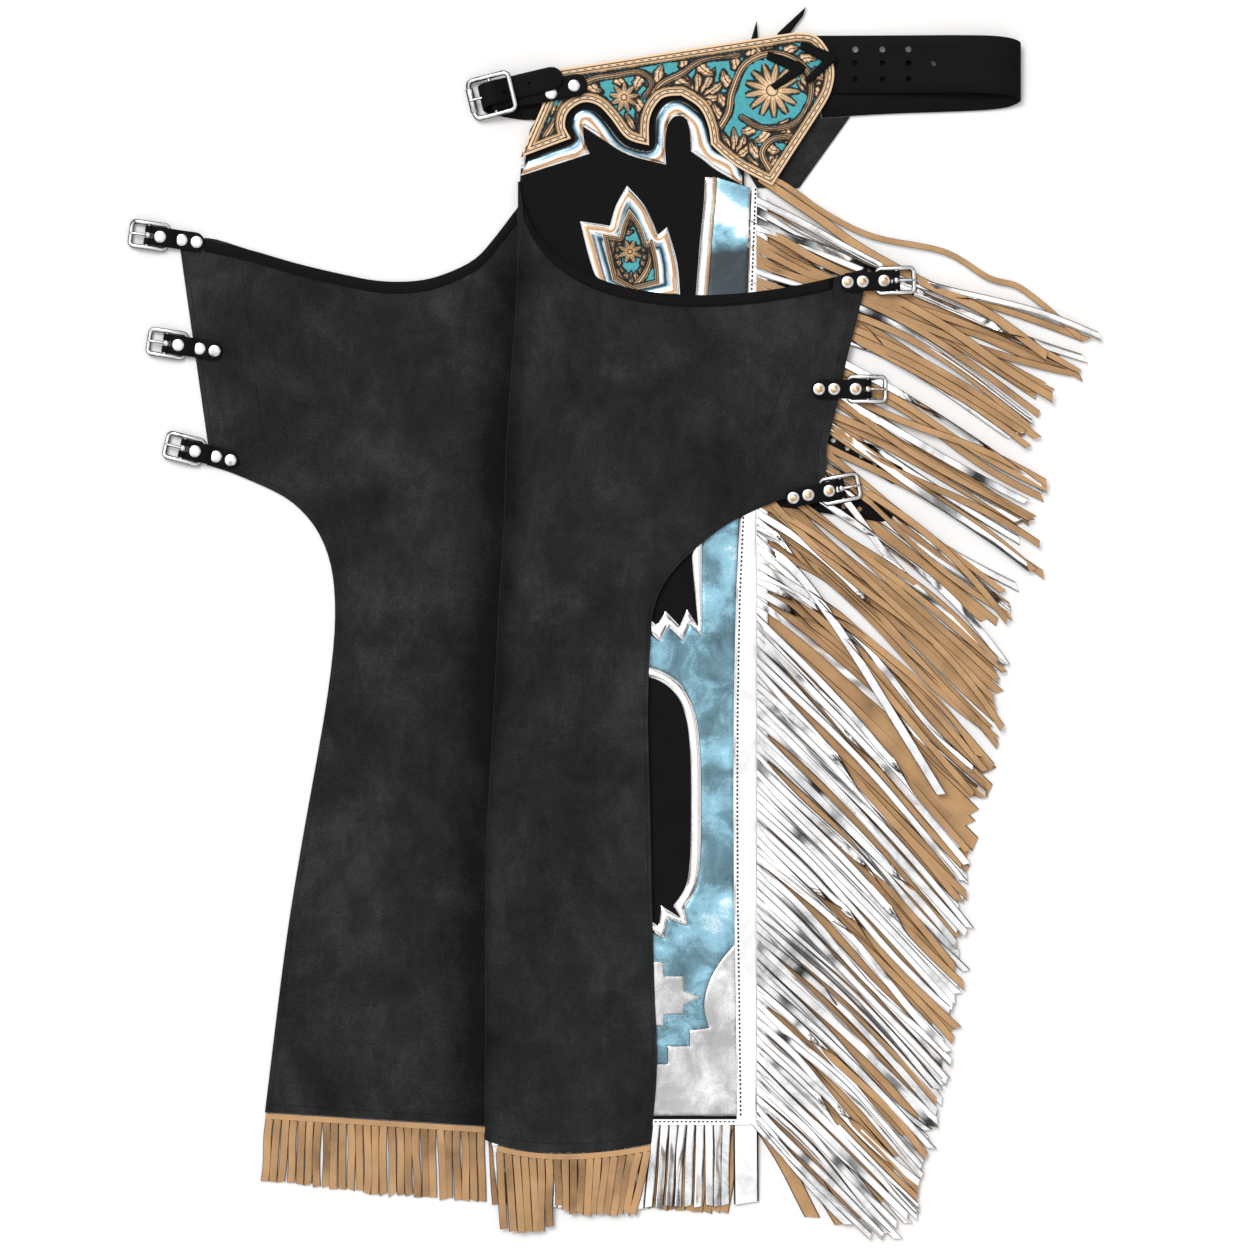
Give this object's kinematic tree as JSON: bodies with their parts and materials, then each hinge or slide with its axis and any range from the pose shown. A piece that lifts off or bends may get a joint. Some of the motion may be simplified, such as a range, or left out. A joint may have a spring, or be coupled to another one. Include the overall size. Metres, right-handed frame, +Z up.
{
  "type": "leather chaps",
  "caption": "Fringed western riding chaps laid flat: black suede legs back to back, tooled yoke, metallic overlays, folded back belt, waist buckle and leg buckles.",
  "frame": {"origin": "middle of the footprint on the floor, below the middle of the laid-out chaps", "axes": "+X towards the long outer fringe, +Y towards the waist, +Z up from the floor"},
  "size_m": [0.839, 1.0569, 0.0145],
  "materials": {
    "black_suede": "flesh side out, napped, matt black",
    "black_leather": "smooth black strap leather, satin",
    "tan_leather": "natural tan flesh side, matt",
    "tooled_leather": "vegetable-tanned, carved and stained with turquoise ground",
    "silver_leather": "silver foil finish, glossy with fine creases",
    "blue_leather": "metallic blue foil finish, mottled",
    "buckle_metal": "bright nickel plate"
  },
  "bodies": {
    "root": {"billet_low": "black_leather", "billet_middle": "black_leather", "billet_top": "black_leather", "blue_band": "blue_leather", "far_facing": "black_leather", "far_fringe": "tan_leather", "far_leg": "black_suede", "far_yoke": "black_suede", "frame_left_low": "buckle_metal", "frame_left_middle": "buckle_metal", "frame_left_top": "buckle_metal", "frame_right_low": "buckle_metal", "frame_right_middle": "buckle_metal", "frame_right_top": "buckle_metal", "hem_fringe_far_flap": "tan_leather", "hem_fringe_far_panel": "tan_leather", "hem_fringe_near_flap": "tan_leather", "hem_fringe_near_panel": "silver_leather", "medallion_base": "silver_leather", "medallion_centre": "tooled_leather", "near_facing": "black_leather", "near_fringe": "silver_leather", "near_leg": "black_suede", "near_yoke": "tooled_leather", "silver_border": "silver_leather", "silver_corner": "silver_leather", "silver_motif": "silver_leather", "silver_window": "silver_leather", "tab_left_low": "black_leather", "tab_left_middle": "black_leather", "tab_left_top": "black_leather", "tab_right_low": "black_leather", "tab_right_middle": "black_leather", "tab_right_top": "black_leather", "thong_lower": "black_leather", "thong_tails": "black_leather", "thong_upper": "black_leather", "waist_billet": "black_leather", "waist_frame": "buckle_metal", "waist_prong": "buckle_metal", "waist_roller": "buckle_metal", "waist_tab": "black_leather", "wide_belt": "black_leather", "yoke_trim": "silver_leather"},
    "prong_left_top": {"prong_left_top": "buckle_metal"},
    "prong_left_middle": {"prong_left_middle": "buckle_metal"},
    "prong_left_low": {"prong_left_low": "buckle_metal"},
    "prong_right_top": {"prong_right_top": "buckle_metal"},
    "prong_right_middle": {"prong_right_middle": "buckle_metal"},
    "prong_right_low": {"prong_right_low": "buckle_metal"}
  },
  "joints": [
    {"name": "prong_left_top_hinge", "type": "hinge", "parent": "root", "child": "prong_left_top", "pos_m": [-0.40239, 0.33196, 0.0057], "axis": [0.1392, 0.9903, 0], "range_deg": [0, 135]},
    {"name": "prong_left_middle_hinge", "type": "hinge", "parent": "root", "child": "prong_left_middle", "pos_m": [-0.38691, 0.23908, 0.0057], "axis": [0.1564, 0.9877, 0], "range_deg": [0, 135]},
    {"name": "prong_left_low_hinge", "type": "hinge", "parent": "root", "child": "prong_left_low", "pos_m": [-0.37229, 0.14878, 0.0057], "axis": [0.2419, 0.9703, 0], "range_deg": [0, 135]},
    {"name": "prong_right_top_hinge", "type": "hinge", "parent": "root", "child": "prong_right_top", "pos_m": [0.24046, 0.29283, 0.0102], "axis": [0.0349, -0.9994, 0], "range_deg": [0, 135]},
    {"name": "prong_right_middle_hinge", "type": "hinge", "parent": "root", "child": "prong_right_middle", "pos_m": [0.21595, 0.19952, 0.0102], "axis": [0, -1, 0], "range_deg": [0, 135]},
    {"name": "prong_right_low_hinge", "type": "hinge", "parent": "root", "child": "prong_right_low", "pos_m": [0.19316, 0.11412, 0.0102], "axis": [0.1908, -0.9816, 0], "range_deg": [0, 135]}
  ]
}
